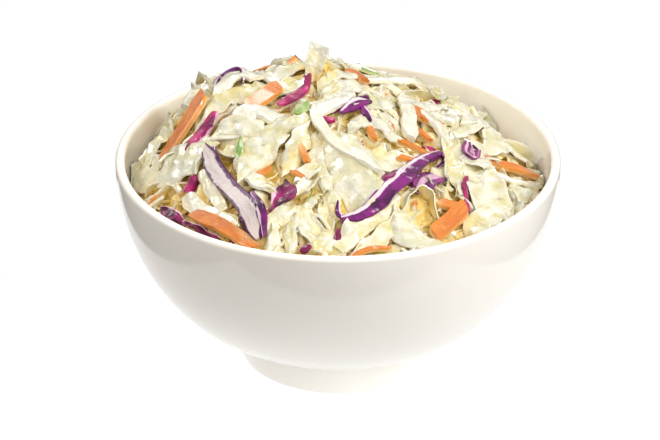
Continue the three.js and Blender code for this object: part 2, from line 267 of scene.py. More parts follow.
def dressed(name, light, deep, rim, film_colour, film_share, veins=0.12, creased=0.0):
    """Raw cut vegetable under a thin dressing: translucent flesh, paler along faint veins and at its rim,
    partly the whiter cut and partly a painted glow of light through the thin edge; a creamy film that gathers
    in patches and shines wet; and a golden colour deep between the pieces and on their sides and undersides,
    partly dressing and partly painted warm shade."""
    made, tree = new_tree(name)
    place = add(tree, "TexCoord", out="Object")
    own = add(tree, "Attribute", out="Vector", attribute_name="place")
    tint = add(tree, "Attribute", out="Fac", attribute_name="tint")
    sunk = add(tree, "Attribute", out="Fac", attribute_name="sunk")
    shares = add(tree, "Attribute", out="Vector", attribute_name="share")
    _, across, through = add(tree, "SeparateXYZ", {0: shares}).node.outputs

    # Flesh: its depth is the piece's tint + 0.3 * across + 0.8 * patches of 8 mm.
    cloud = add(tree, "TexNoise", {"Vector": place, "Scale": features(8.33), "Detail": 3.0})
    lean = add(tree, "Math", {0: across, 1: 0.3, 2: tint}, operation="MULTIPLY_ADD")
    lean = add(tree, "Math", {0: cloud, 1: 0.8, 2: lean}, operation="MULTIPLY_ADD")
    depth = add(tree, "MapRange", {"Value": lean, "From Min": 0.2, "From Max": 1.5})
    flesh = add(tree, "Mix", {0: depth, MIX_A: colour(light), MIX_B: colour(deep)}, **COLOURS)

    # Veins, and the outer fifth of the width in the rim's colour, partly the whiter cut and partly a painted
    # glow of light through the thin edge.
    along = add(tree, "Mapping", {"Vector": own, "Scale": VEINS_PER_MM})
    lines = add(tree, "TexNoise", {"Vector": along, "Scale": 1.0, "Detail": 2.0})
    lines = add(tree, "MapRange", {"Value": lines, "From Min": 0.5, "From Max": 0.64, "To Max": veins})
    edge = add(tree, "Math", {0: across}, operation="ABSOLUTE")
    edge = add(tree, "MapRange", {"Value": edge, "From Min": 0.78, "From Max": 0.95, "To Max": 0.9})
    paler = add(tree, "Math", {0: lines, 1: edge}, operation="MAXIMUM")
    flesh = add(tree, "Mix", {0: paler, MIX_A: flesh, MIX_B: colour(rim)}, **COLOURS)

    # Film: patches of 5 mm, wider the larger its share.
    patches = add(tree, "TexNoise", {"Vector": place, "Scale": features(4.76), "Detail": 4.0})
    thin = 0.53 - 0.2 * film_share
    film = add(tree, "MapRange", {"Value": patches, "From Min": thin, "From Max": thin + 0.15, "To Max": 0.8})
    base = add(tree, "Mix", {0: film, MIX_A: flesh, MIX_B: colour(film_colour)}, **COLOURS)

    # Golden colour between the pieces: it begins 1 mm under the pieces around, is strongest at 4.2 mm, and
    # turns golden past 2.4 mm; partly dressing pooled in the gaps, partly painted warm shade in them.
    soaked_and_shaded = add(tree, "MapRange", {"Value": sunk, "From Min": 1.0, "From Max": 4.2, "To Max": 0.8})
    # Sides and undersides, under 0.3 of the way through the piece, take up to 0.4 of the golden colour below
    # as painted warm shade.
    under = add(tree, "MapRange", {"Value": through, "From Min": 0.3, "From Max": -0.3, "To Max": 0.4})
    soaked_and_shaded = add(tree, "Math", {0: soaked_and_shaded, 1: under}, operation="MAXIMUM")
    pool_and_gap_shade = add(tree, "MapRange", {"Value": sunk, "From Min": 2.4, "From Max": 4.4})
    pool_and_gap_shade = add(tree, "Mix", {0: pool_and_gap_shade, MIX_A: colour("#F3E3A8"), MIX_B: colour("#E8C45A")}, **COLOURS)
    base = add(tree, "Mix", {0: soaked_and_shaded, MIX_A: base, MIX_B: pool_and_gap_shade}, **COLOURS)

    # Relief: patches + 0.4 * grain + creased * |folds|, the folds 5 mm apart. The grain of cut cells is
    # a few tenths of a millimetre and is drawn 1.8 mm coarse, so that it shows.
    grain = add(tree, "TexNoise", {"Vector": place, "Scale": features(1.786), "Detail": 4.0})
    folds = add(tree, "TexNoise", {"Vector": place, "Scale": features(5.26), "Detail": 1.5,
                                   "Distortion": 0.6})
    folds = add(tree, "Math", {0: folds, 1: 0.5}, operation="SUBTRACT")
    folds = add(tree, "Math", {0: folds}, operation="ABSOLUTE")
    height = add(tree, "Math", {0: grain, 1: 0.4, 2: patches}, operation="MULTIPLY_ADD")
    height = add(tree, "Math", {0: folds, 1: creased, 2: height}, operation="MULTIPLY_ADD")
    rough = add(tree, "MapRange", {"Value": film, "To Min": 0.36, "To Max": 0.16})
    shown(tree, base, rough, height, 0.0009, Coat_Weight=0.9, Coat_Roughness=0.06, Subsurface_Weight=0.15,
          Subsurface_Radius=(1.0, 1.0, 1.0), Subsurface_Scale=0.0012)
    return made


def red_cabbage(name, skin, skin_deep, flesh, bare_from, bare_to):
    """Red cabbage cut into strips: glossy purple skin in tones of 6 mm, and pale streaked flesh where
    the knife took the skin off, from bare_from to bare_to across the strip, -1 and 1 being its edges.
    A little dressing lies on it in patches of 4 mm."""
    made, tree = new_tree(name)
    place = add(tree, "TexCoord", out="Object")
    own = add(tree, "Attribute", out="Vector", attribute_name="place")
    shares = add(tree, "Attribute", out="Vector", attribute_name="share")
    across = add(tree, "SeparateXYZ", {0: shares}, out=1)
    cloud = add(tree, "TexNoise", {"Vector": place, "Scale": features(5.88), "Detail": 3.0})
    tone = add(tree, "MapRange", {"Value": cloud, "From Min": 0.4, "From Max": 0.6})
    skin_colour = add(tree, "Mix", {0: tone, MIX_A: colour(skin_deep), MIX_B: colour(skin)}, **COLOURS)
    along = add(tree, "Mapping", {"Vector": own, "Scale": STREAKS_PER_MM})
    streaks = add(tree, "TexNoise", {"Vector": along, "Scale": 1.0, "Detail": 3.0})
    streaked = add(tree, "MapRange", {"Value": streaks, "From Min": 0.5, "From Max": 0.75, "To Max": 0.35})
    flesh_colour = add(tree, "Mix", {0: streaked, MIX_A: colour(flesh), MIX_B: skin_colour}, **COLOURS)

    # The bare stretch's edges wander by 0.9 * the clouds, whose mean of 0.5 shifts its middle by 0.45.
    wander = add(tree, "Math", {0: cloud, 1: 0.9, 2: across}, operation="MULTIPLY_ADD")
    middle, half = (bare_from + bare_to) / 2 + 0.45, (bare_to - bare_from) / 2
    off = add(tree, "Math", {0: wander, 1: middle}, operation="SUBTRACT")
    off = add(tree, "Math", {0: off}, operation="ABSOLUTE")
    skinned = add(tree, "MapRange", {"Value": off, "From Min": half - 0.05, "From Max": half + 0.05})
    base = add(tree, "Mix", {0: skinned, MIX_A: flesh_colour, MIX_B: skin_colour}, **COLOURS)
    patches = add(tree, "TexNoise", {"Vector": place, "Scale": features(4.17), "Detail": 3.0})
    film = add(tree, "MapRange", {"Value": patches, "From Min": 0.62, "From Max": 0.72, "To Max": 0.6})
    base = add(tree, "Mix", {0: film, MIX_A: base, MIX_B: colour("#E9DCE3")}, **COLOURS)
    shown(tree, base, 0.33, patches, 0.0005, Subsurface_Weight=0.05, Subsurface_Scale=0.001,
          Coat_Weight=0.12, Coat_Roughness=0.12, Specular_IOR_Level=0.3)
    return made


def sauce():
    """Creamy oil-and-egg dressing, stirred in and pooled between the shreds, wet and soft, with tones of 6
    mm; its golden colour in the gaps is partly the dressing's own and partly painted warm shade."""
    made, tree = new_tree("pooled_dressing_and_gap_shade")
    place = add(tree, "TexCoord", out="Object")
    cloud = add(tree, "TexNoise", {"Vector": place, "Scale": features(6.25), "Detail": 3.0})
    tone = add(tree, "MapRange", {"Value": cloud, "From Min": 0.4, "From Max": 0.62})
    # Golden tones: partly the dressing's own colour, partly painted warm shade between the pieces.
    base = add(tree, "Mix", {0: tone, MIX_A: colour("#D0A038"), MIX_B: colour("#EACE70")}, **COLOURS)
    shown(tree, base, 0.25, cloud, 0.002, Subsurface_Weight=0.4, Subsurface_Scale=0.003, Coat_Weight=0.3)
    return made


# ---- bowl ----


def bowl_profile():
    """Closed half-section from the recess's centre round the foot, side, lip and inside to the floor."""
    quarter = np.linspace(0.0, math.pi / 2, 7)
    ring_in = FOOT_R - FOOT_RING_WIDTH
    foot = [(0.0, FOOT_RECESS), (ring_in * 0.5, FOOT_RECESS), (ring_in - FOOT_RECESS, FOOT_RECESS),
            (ring_in - 0.5, 0.4), (ring_in, 0.0), (ring_in + 0.5, 0.0), (FOOT_R - FOOT_EDGE - 0.4, 0.0)]
    edge = np.stack([FOOT_R - FOOT_EDGE * (1 - np.sin(quarter)), FOOT_EDGE * (1 - np.cos(quarter))], -1)
    seam_z = FOOT_HEIGHT - SEAM_FILLET * (1 - np.sin(quarter))
    seam = np.stack([FOOT_R + SEAM_FILLET * (1 - np.cos(quarter)), seam_z], -1)
    lip_r = LIP_THICKNESS / 2
    lip_z = BOWL_HEIGHT - lip_r
    first, last = turn_at(FOOT_HEIGHT + SEAM_STEP, BODY_LOW_Z), turn_at(lip_z, BODY_LOW_Z)
    outer = side_points(np.linspace(first, last, SIDE_ROWS), RIM_R, BODY_LOW_Z)
    around = np.linspace(0.0, math.pi, 15)[1:-1]
    lip = np.stack([RIM_R - lip_r + lip_r * np.cos(around), lip_z + lip_r * np.sin(around)], -1)
    inner = side_points(np.linspace(turn_at(lip_z, FLOOR_Z), math.pi / 2, SIDE_ROWS), INNER_R, FLOOR_Z)
    return np.concatenate([np.array(foot), edge, seam, outer, lip, inner])


def turned(name, profile, sides, material):
    """Turns a profile of (radius, height) round the axis, point = (r cos a, r sin a, z)."""
    angles = -np.linspace(0.0, 2 * math.pi, sides, endpoint=False)
    r, z = profile[:, :1], np.broadcast_to(profile[:, 1:], (len(profile), sides))
    points = np.stack([r * np.cos(angles), r * np.sin(angles), z], -1)
    index = np.arange(points[..., 0].size).reshape(z.shape)
    return mesh_object(name, points.reshape(-1, 3), joined_rows(index[::-1]).reshape(-1, 4), material)


bowl = turned("glazed_bowl", bowl_profile(), BOWL_SIDES, glaze())
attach(bowl, "root")
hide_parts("bowl")

# ---- heap ----


def core_z(x, y):
    """Height of the core's top: the heap's outline lowered by 2.8 mm, measured square to its slope."""
    return heap_z(x, y) - CORE_DEPTH / heap_normal(x, y)[..., 2]


def core():
    """Body of the heap under the loose pieces: its outline lowered, roughened by crossed waves of
    about 9 mm, and closed down along the bowl's inside."""
    angles = -np.linspace(0.0, 2 * math.pi, CORE_SIDES, endpoint=False)
    c, s = np.cos(angles), np.sin(angles)
    edge_z = core_z(HEAP_R * c, HEAP_R * s)
    edge_r = side_radius(edge_z, INNER_R, FLOOR_Z) - WALL_GAP
    r = edge_r * np.linspace(0.01, 1.0, CORE_TOP_ROWS)[:, None]
    x, y = r * c, r * s
    rough = CORE_ROUGH * np.sin(0.62 * x + 0.35 * y) * np.sin(0.5 * y - 0.41 * x + 1.0)
    top = np.stack([x, y, core_z(x, y) + rough], -1)
    edge_turn = np.arcsin(((BOWL_HEIGHT - edge_z) / (BOWL_HEIGHT - FLOOR_Z)) ** (SIDE_POWER / 2))
    down = np.linspace(0.0, 0.99, CORE_WALL_ROWS)[1:, None]
    wall = side_points(edge_turn + (math.pi / 2 - edge_turn) * down, INNER_R, FLOOR_Z)
    r, z = wall[..., 0] - WALL_GAP, wall[..., 1] + WALL_GAP * down
    points = np.concatenate([top, np.stack([r * c, r * s, z], -1)])
    index = np.arange(points[..., 0].size).reshape(points.shape[:2])
    return mesh_object("dressing_core", points.reshape(-1, 3), joined_rows(index).reshape(-1, 4), sauce())


def section(across, corner=0.9, shoulder=0.5, bevel=0.0, thin=0.0):
    """Ring round a flat piece's cross-section in halves of its width and thickness: along the
    underside from one edge to the other and back over the top, with eased corners. A bevel draws
    the top in from the second edge, as an oblique knife cut does; thin is the share of thickness
    lost towards the edges, as 1 - thin * across^2."""
    under = np.concatenate([[-1.0], np.linspace(-corner, corner, across), [1.0]])
    over = np.concatenate([[-1.0], np.linspace(-corner, corner - bevel, across), [1.0 - 0.2 * bevel]])
    y = np.concatenate([[shoulder], np.ones(across), [shoulder]]) * (1.0 - thin * under**2)
    return np.stack([np.concatenate([under, over[::-1]]), np.concatenate([-y, y[::-1]])], -1)


def smooth_path(points, rows):
    """Catmull-Rom curve through given points, at evenly spaced rows."""
    p = np.array(points, float)
    p = np.concatenate([2 * p[:1] - p[1:2], p, 2 * p[-1:] - p[-2:-1]])
    at = np.linspace(0, len(p) - 3 - 1e-9, rows)
    i, t = at.astype(int), (at % 1.0)[:, None]
    a, b, c, d = p[i], p[i + 1], p[i + 2], p[i + 3]
    return 0.5 * (2 * b + (c - a) * t + (2 * a - 5 * b + 4 * c - d) * t**2 + (3 * b - a - 3 * c + d) * t**3)


def hills(x, y):
    """Short bumps in the heap, where shreds pile up or leave a pit: the sum of four crossed sine waves
    of 11 to 14 mm, from about -1.5 to 1.5."""
    waves = ((0.41, 0.22, 0.3), (-0.19, 0.44, 1.9), (0.33, -0.3, 4.0), (0.05, 0.57, 2.6))
    return sum(np.sin(ax * x + ay * y + shift) for ax, ay, shift in waves) / 2.6


def laid(path):
    """Plan points with lifts as points over the heap: each at the outline's height plus its lift."""
    p = np.array(path, float)
    return np.concatenate([p[:, :2], heap_z(p[:, :1], p[:, 1:2]) + p[:, 2:]], -1)


def jagged(along, length):
    """Edge that wanders in straight runs of about 4.2 mm between random offsets from -1.5 to 1.5."""
    n = len(length)
    knots = draw.uniform(-1.5, 1.5, (n, 16))
    at = along * np.clip(length / JAG_RUN, 1.5, 14)
    i = np.floor(at).astype(int)
    row = np.arange(n)[:, None]
    return knots[row, i] * (1 - at + i) + knots[row, i + 1] * (at - i)


def zigzag(phase):
    """Triangle wave from -1 to 1, which leaves creases where a sine wave would be round."""
    return np.arcsin(np.sin(phase)) * 2 / math.pi


def column(value, count):
    """Values for each piece, one under the other, from a single number or from one each."""
    return np.broadcast_to(np.asarray(value, float).reshape(-1, 1), (count, 1))


def shaped(spine, ring, width, thickness, roll, twist, curl=0.0, fold=0.0, wave=0.0, dent=0.0, knobs=0.0,
           ragged=0.1, ends=0.6, slant=0.0, taper=0.2, widen=0.0):
    """Pieces as rings of points: at each row of its spine a piece has the ring scaled to its width
    and thickness, turned by roll + twist * along, cupped by curl * across^2 and folded by
    fold * |across - crease|. Its surface is creased by crossed zigzags of about 9 mm, its thickness
    swells by the share knobs in crossed waves of about 4 mm, and its edges are rippled by a wave and
    wander in and out by the ragged share. It widens by the share widen from its middle to its far
    end, over the taper share at each end it narrows to the share ends, and its end cut is slanted."""
    n, rows, _ = spine.shape
    width, thickness, roll, twist = (column(value, n) for value in (width, thickness, roll, twist))
    curl, fold, wave, dent = (column(value, n) for value in (curl, fold, wave, dent))
    ends, slant, widen = (column(value, n) for value in (ends, slant, widen))
    along = np.linspace(0.0, 1.0, rows)[None, :]
    forward = unit(np.gradient(spine, axis=1))
    up = heap_normal(spine[..., 0], spine[..., 1])
    up = unit(up - forward * (up * forward).sum(-1, keepdims=True))
    side = np.cross(up, forward)
    turn = (roll + twist * (along - 0.5))[..., None]
    side, up = side * np.cos(turn) - up * np.sin(turn), up * np.cos(turn) + side * np.sin(turn)
    from_end = np.minimum(1.0, (1.0 - np.abs(2 * along - 1)) / (2 * taper))
    narrowing = ends + (1.0 - ends) * from_end
    phases = draw.uniform(0, 2 * math.pi, (4, n, 1, 1))
    crease = draw.uniform(-0.4, 0.4, (n, 1, 1))
    length = np.linalg.norm(np.diff(spine, axis=1), axis=-1).sum(1)[:, None]
    wander = [jagged(along, length) for _ in range(4)]
    x, y = ring[:, 0], ring[:, 1]
    half = width / 2 * narrowing * (1.0 + widen * (2 * along - 1))
    left, right = half * (1 + ragged * wander[0]), half * (1 + ragged * wander[1])
    out = np.where(x < 0, left[..., None], right[..., None]) * x
    s, t = (along * length)[..., None], out
    swell = np.sin(1.5 * s + 0.7 * t + phases[2]) * np.sin(1.7 * t - 0.8 * s + phases[3])
    bulk = thickness[..., None] / 2 * y * (1 + knobs * swell)
    ripple = wave[..., None] * np.abs(x) * (wander[2][..., None] + 0.6 * wander[3][..., None] * np.sign(x))
    dents = zigzag(0.6 * s + 0.4 * t + phases[0]) * zigzag(0.55 * t - 0.3 * s + phases[1])
    bowed = curl[..., None] * (x**2 - 0.4) + fold[..., None] * (np.abs(x - crease) - 0.5)
    raised = bulk + bowed * width[..., None] / 2 + ripple + dent[..., None] * dents
    shift = slant * width / 2 * np.abs(2 * along - 1) ** 4
    points = spine[:, :, None] + side[:, :, None] * out[..., None] + up[:, :, None] * raised[..., None]
    points = points + forward[:, :, None] * (shift[..., None] * x)[..., None]
    return clear_of_wall(points)


def pieces(name, groups, material):
    """One object of closed pieces. groups are arrays (pieces, rows, ring, 3) with their ring. Each
    piece has its own cell of the OFBake map and a tint, paler in the first group. Each point keeps its
    place along, across and through its piece, in millimetres and as a share, and how far it is sunk
    under the pieces around it."""
    points, quads, own, shares, cells, smooth = [], [], [], [], [], []
    total = sum(len(g) for g, _ in groups)
    tints = draw.uniform(0, 1, total)
    tints[: len(groups[0][0])] *= PALER
    tint = []
    side = math.ceil(math.sqrt(total))
    first, number = 0, 0
    for g, ring in groups:
        n, rows, around, _ = g.shape
        index = first + np.arange(n * rows * around).reshape(n, rows, around)
        sides = joined_rows(index)
        k = np.arange(around // 2 - 1)
        start, end = index[:, 0], index[:, -1]
        back = around - 1 - k
        cap_a = np.stack([start[:, k], start[:, back], start[:, back - 1], start[:, k + 1]], -1)
        cap_b = np.stack([end[:, k], end[:, k + 1], end[:, back - 1], end[:, back]], -1)
        row, col = np.mgrid[0 : rows - 1, 0:around]
        u = np.stack([row, row, row + 1, row + 1], -1) / (rows - 1) * SIDES_SHARE
        v = np.stack([col, col + 1, col + 1, col], -1) / around
        cap_u = np.tile([0.0, 0.0, CAP_SHARE, CAP_SHARE], (len(k), 1))
        cap_v = np.stack([k, k + 1, k + 1, k], -1) / len(k)
        side_uv = np.stack([u, v], -1).reshape(-1, 4, 2)
        caps_uv = [np.stack([cap_u + cap_at, cap_v], -1) for cap_at in CAPS_AT]
        cell_uv = np.concatenate([side_uv, *caps_uv])[None] * CELL_SHARE + CELL_MARGIN
        at = number + np.arange(n)
        corner = np.stack([at % side, at // side], -1)[:, None, None, :]
        cells.append(((corner + cell_uv) / side).reshape(-1, 2))
        quads.append(np.concatenate([sides.reshape(n, -1, 4), cap_a, cap_b], 1).reshape(-1, 4))
        broad = np.ones((rows - 1, around), bool)
        broad[:, [around // 2 - 1, around - 1]] = False
        smooth.append(np.tile(np.concatenate([broad.ravel(), np.zeros(2 * len(k), bool)]), n))
        points.append(g.reshape(-1, 3))
        spread = np.broadcast_to(g[:, :, :1], g.shape) - g
        length = np.linalg.norm(np.diff(g.mean(2), axis=1), axis=-1).sum(1)
        along = np.linspace(0, 1, rows)[:, None]
        place = np.zeros(g.shape)
        place[..., 0] = along * length[:, None, None] + PATTERN_STEP * at[:, None, None]
        place[..., 1] = ring[:, 0] * np.linalg.norm(spread[:, :, around // 2 - 1], axis=-1)[..., None] / 2
        place[..., 2] = ring[:, 1]
        own.append(place.reshape(-1, 3))
        share = np.zeros(g.shape)
        share[..., 0] = along
        share[..., 1:] = ring
        shares.append(share.reshape(-1, 3))
        tint.append(np.repeat(tints[number : number + n], rows * around))
        first += n * rows * around
        number += n
    points = np.concatenate(points)
    made = mesh_object(name, points, np.concatenate(quads), material, np.concatenate(smooth))
    mesh = made.data
    mesh.set_sharp_from_angle(angle=math.radians(SHARP_ANGLE))
    mesh.uv_layers.new(name="OFBake").data.foreach_set("uv", np.concatenate(cells).astype(np.float32).ravel())
    for key, values in (("place", own), ("share", shares)):
        mesh.attributes.new(key, "FLOAT_VECTOR", "POINT").data.foreach_set(
            "vector", np.concatenate(values).astype(np.float32).ravel())
    sunk = top_at(points[:, 0], points[:, 1]) - points[:, 2]
    for key, values in (("tint", np.concatenate(tint)), ("sunk", sunk)):
        mesh.attributes.new(key, "FLOAT", "POINT").data.foreach_set("value", values.astype(np.float32))
    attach(made, "root")
    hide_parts("coleslaw")
    return made


def tops(groups):
    """Height of the pieces as laid, on a square grid: the highest point in each cell of 3 mm,
    softened by the mean of each cell with the four beside it."""
    every = np.concatenate([g.reshape(-1, 3) for g in groups])
    i, j = (every[:, :2] / TOP_CELL + TOP_CELLS / 2).astype(int).T
    high = np.full((TOP_CELLS, TOP_CELLS), EDGE_Z - CORE_DEPTH)
    np.maximum.at(high, (i, j), every[:, 2])
    beside = sum(np.roll(high, step, axis) for step in (-1, 1) for axis in (0, 1))
    return (high + beside) / 5


def top_at(x, y):
    """Height of that grid, named high once all is laid, at plan points, blended between its cells."""
    u, v = x / TOP_CELL + TOP_CELLS / 2 - 0.5, y / TOP_CELL + TOP_CELLS / 2 - 0.5
    i, j = np.floor(u).astype(int), np.floor(v).astype(int)
    a, b = u - i, v - j
    near = high[i, j] * (1 - a) + high[i + 1, j] * a
    far = high[i, j + 1] * (1 - a) + high[i + 1, j + 1] * a
    return near * (1 - b) + far * b


def scatter(count, rows, length, depth, shift):
    """Spines spread evenly over the heap on a sunflower spiral, jittered, each with its own
    heading, bend and pitch, and sunk under the outline by its depth."""
    i = np.arange(count)
    r = SPREAD_R * np.sqrt((i + 0.5) / count) + draw.normal(0, 1.5, count)
    a = GOLDEN_TURN * i + shift + draw.normal(0, 0.04, count)
    x, y = r * np.cos(a), r * np.sin(a)
    size = draw.uniform(*length, count)
    heading = draw.uniform(0, 2 * math.pi, count)
    along = np.linspace(-0.5, 0.5, rows)[None, :]
    bow = (BEND * draw.normal(0, 1, count) * size)[:, None] * (1 - 4 * along**2)
    bow = bow + (0.08 * draw.normal(0, 1, count) * size)[:, None] * np.sin(2 * math.pi * along)
    run = along * size[:, None]
    c, s = np.cos(heading)[:, None], np.sin(heading)[:, None]
    dx, dy = run * c - bow * s, run * s + bow * c
    normal = heap_normal(x, y)
    up = normal[:, :, None] / normal[:, 2, None, None]
    pitched = np.clip(draw.normal(0, PITCH, count), -0.6, 0.6)[:, None] * run
    arch = draw.uniform(-0.08, 0.12, count)[:, None] * size[:, None] * (1 - 4 * along**2)
    centre = heap_z(x, y) - draw.uniform(*depth, count) + HILL_LIFT * hills(x, y)
    z = centre[:, None] - up[:, 0] * dx - up[:, 1] * dy + pitched + arch
    return np.stack([x[:, None] + dx, y[:, None] + dy, z], -1)


def kept_under(spines, cover, reach=4.2, by=2.8):
    """Spines sunk where they pass the points of the pieces that cover them: each point moves towards
    the depth by under the nearest one, by the share exp(-(distance / reach)^2)."""
    flat = spines[..., :2].reshape(-1, 1, 2)
    parts = [np.linalg.norm(flat[i : i + BATCH] - cover[None, :, :2], axis=-1)
             for i in range(0, len(flat), BATCH)]
    nearest = np.concatenate([gap.argmin(1) for gap in parts]).reshape(spines.shape[:2])
    gap = np.concatenate([gap.min(1) for gap in parts]).reshape(spines.shape[:2])
    sunk = spines.copy()
    least = np.minimum(spines[..., 2], cover[nearest, 2] - by)
    sunk[..., 2] += (least - spines[..., 2]) * np.exp(-((gap / reach) ** 2))
    return sunk


draw = np.random.default_rng(SEED)

# Pieces on top: plan path with lifts over the outline, width, thickness, roll, twist.
WHITE_RIBS = (
    ([(-50, -30, 0.2), (-44, -39, 0.9), (-33, -50, 0.2)], 6.4, 2.4, 0.1, 0.2),
    ([(-55, -21, 0), (-52, -28, 0.4)], 2.4, 2, 0.2, 0.1),
    ([(-45, -26, 0), (-41, -34, 0.6), (-37, -42, 0)], 5, 1.8, 0.1, 0.2),
    ([(-38, -43, 0), (-32, -49, 0.3)], 3.6, 1.6, 0.1, 0.2),
    ([(-52, 17, -0.5), (-50, 24, 1)], 3.6, 1.8, 0.2, 0.2),
    ([(-50, -12, 0), (-47, -5, 0.5), (-44, 2, 0.2)], 3.4, 1.6, 0.2, 0.2),
    ([(-42, 12, 0), (-35, 21, 1.2), (-26, 19, 0.8)], 6, 1.8, 0.2, 0.3),
    ([(-31, 24, 0), (-24, 22, 0.8), (-16, 14, 0.3)], 6.5, 1.8, 0, 0.3),
    ([(-34, -13, 0), (-28, -9, 1.6), (-19, -9, 0.8)], 8, 2.6, 0.1, 0.2),
    ([(-9, -5, 0.2), (-2, 1, 1.6), (5, 10, 0.8)], 8.4, 2.4, 0.1, 0.2),
    ([(-9, -3, 0.6), (-6, -12, 2.6), (1, -21, 4), (8, -26, 4.2), (14, -30, 2.8)], 4, 1.8, 0.1, 0.2),
    ([(23, 26, 0), (24, 10, 1.3), (24, -4, 0.6)], 5.6, 2.2, 0.1, 0.2),
    ([(27, 14, 0.5), (33, 8, 1.2), (37, 2, 0.4)], 4.4, 2, 0.2, 0.2),
    ([(7, 27, 0), (17, 33, 0.8), (27, 39, 0.8)], 6.5, 2.2, 0.1, 0.3),
    ([(6, 39, 0), (16, 43, 0.8), (25, 46, 0)], 5.5, 2, 0.1, 0.3),
    ([(25, 17, 0), (33, 26, 0.6)], 6.4, 1.8, 0.1, 0.2),
    ([(37, 13, 0), (39, 24, 0.8)], 4.8, 1.8, 0.1, 0.2),
    ([(42, 20, 0), (48, 25, 0.8), (53, 19, 0.2)], 6, 1.8, 0.1, 0.2),
    ([(53, -8, 0), (60, -7, 0.6), (66, -2, 0)], 5.5, 1.8, 0.1, 0.2),
    ([(-44, -16, 1.4), (-40, -17, 1.7), (-33, -19, 1.2)], 1.4, 1, 0, 0.2),
    ([(-47, -13, 0.6), (-43, -15, 1.6)], 4.2, 2, 0.1, 0.1),
)
LEAVES = (
    ([(21, -41, 0.2), (24, -34, 1.6), (30, -31, 1.8), (33, -38, 0.4)], 4.6, 0.9, 0.9, 0.3),
    ([(-65, 4, 0), (-61, 13, 0.3), (-55, 17, 0)], 8, 1, 0.1, 0.2),
    ([(-66, 4, -0.5), (-59, 0, 0)], 9, 1, 0.1, 0.2),
    ([(-44, 2, 0), (-36, 9, 0.9), (-27, 11, 0.2)], 8, 1.2, 0.1, 0.2),
    ([(-21, 9, 0), (-13, 19, 1)], 8, 2, 0.1, 0.2),
    ([(-27, 29, 0), (-18, 27, 0.9), (-9, 33, 0)], 9, 1.4, 0.1, 0.2),
    ([(-40, -15, 0), (-32, -15, 0.8), (-23, -18, 0.2)], 9.5, 1.4, 0, 0.2),
    ([(-39, -21, 0), (-32, -25, 0.3)], 4.4, 1.2, 0.1, 0.2),
    ([(-33, -34, 0.2), (-27, -26, 1.6), (-18, -21, 0.8)], 11, 2.6, 0, 0.2),
    ([(-28, -32, 0.6), (-21, -43, 1.4)], 10, 2.6, 0, 0.2),
    ([(-25, -40, 0.2), (-24, -49, 0.6)], 5.4, 2.4, 0, 0.2),
    ([(-25, -23, 0), (-18, -14, 1.1), (-11, -8, 0.6)], 11, 1.6, 0.1, 0.2),
    ([(-18, -30, 0), (-14, -21, 0.9), (-10, -12, 0.9)], 8.4, 1.8, -0.1, 0.2),
    ([(-14, -34, 0.3), (-7, -28, 0.9)], 6.4, 2.4, 0.1, 0.2),
    ([(-13, -41, 0.3), (-8, -35, 0.9)], 6, 2.4, 0.1, 0.2),
    ([(-13, -46, 0), (-7, -41, 0.5)], 5.4, 2.2, 0.1, 0.2),
    ([(-7, 14, 0), (-1, 22, 1.1), (7, 28, 0.4)], 9, 1.8, 0.1, 0.2),
    ([(-5, 7, 0), (1, 15, 0.7), (9, 22, 0)], 8, 1.6, 0.1, 0.2),
    ([(-8, -14, 0.2), (-7, -25, 0.6), (-4, -37, 0.2)], 5.4, 1.2, -0.3, 0.2),
    ([(-12, -45, 0.2), (-8, -57, 0.5)], 9, 1.4, 0, 0.2),
    ([(0, -57, 0), (9, -47, 0.9), (20, -37, 0.4)], 8.4, 1.6, 0, 0.2),
    ([(6, -58, -0.3), (16, -49, 0.5), (25, -40, 0)], 6.4, 1.6, 0.1, 0.2),
    ([(18, -41, 0), (24, -50, 0.6), (35, -52, 0)], 8.4, 1.4, 0, 0.2),
    ([(-24, -54, 0.2), (-14, -46, 0.9)], 7.8, 2.6, 0, 0.2),
    ([(-23, -60, 0), (-21, -53, 0.4)], 5.6, 2, 0, 0.2),
    ([(-16, -62, -0.3), (-15, -55, 0.2), (-14, -49, 0)], 3.8, 1.6, 0.1, 0.2),
    ([(-9, -61, 0), (-2, -52, 0.5)], 5.8, 1.8, 0, 0.2),
    ([(10, 5, 0.2), (18, 18, 1)], 8.4, 2.2, 0.1, 0.2),
    ([(31, 10, 0), (35, 22, 0.5)], 6.4, 1.4, 0.1, 0.2),
    ([(3, -9, 0.2), (11, -4, 1), (21, -8, 0.4)], 7.4, 1.6, 0.1, 0.2),
    ([(9, -15, 0), (16, -18, 0.5), (24, -16, 0.2)], 12, 1.4, 0, 0.2),
    ([(37, 6, 0), (38, -7, 0.7), (36, -23, 0.2)], 7, 1.4, 0.1, 0.2),
    ([(42, 12, 0), (41, -6, 0.3), (40, -25, 0)], 6.4, 1.2, 0, 0.2),
    ([(33, -9, 0), (34, -22, 0.3)], 5.4, 1.6, 0, 0.2),
    ([(57, -15, 0), (65, -13, 0)], 7.4, 1.2, 0.1, 0.2),
    ([(42, -46, 0), (48, -34, 0.6), (58, -26, 0)], 7.4, 1.6, 0, 0.2),
    ([(38, 5, 0), (45, 15, 0.7), (53, 19, 0.2)], 7.4, 1.8, 0.1, 0.2),
    ([(44, -3, 0.5), (52, -7, 0.9)], 7.4, 1.4, 0.1, 0.2),
    ([(44, 3, 0.2), (52, 1, 0.5)], 7.4, 1.4, 0.1, 0.2),
    ([(34, -23, 0), (38, -32, 0.2)], 5.4, 1.4, 0, 0.2),
    ([(28, -19, 0), (34, -26, 0)], 5.4, 1.4, 0, 0.2),
)
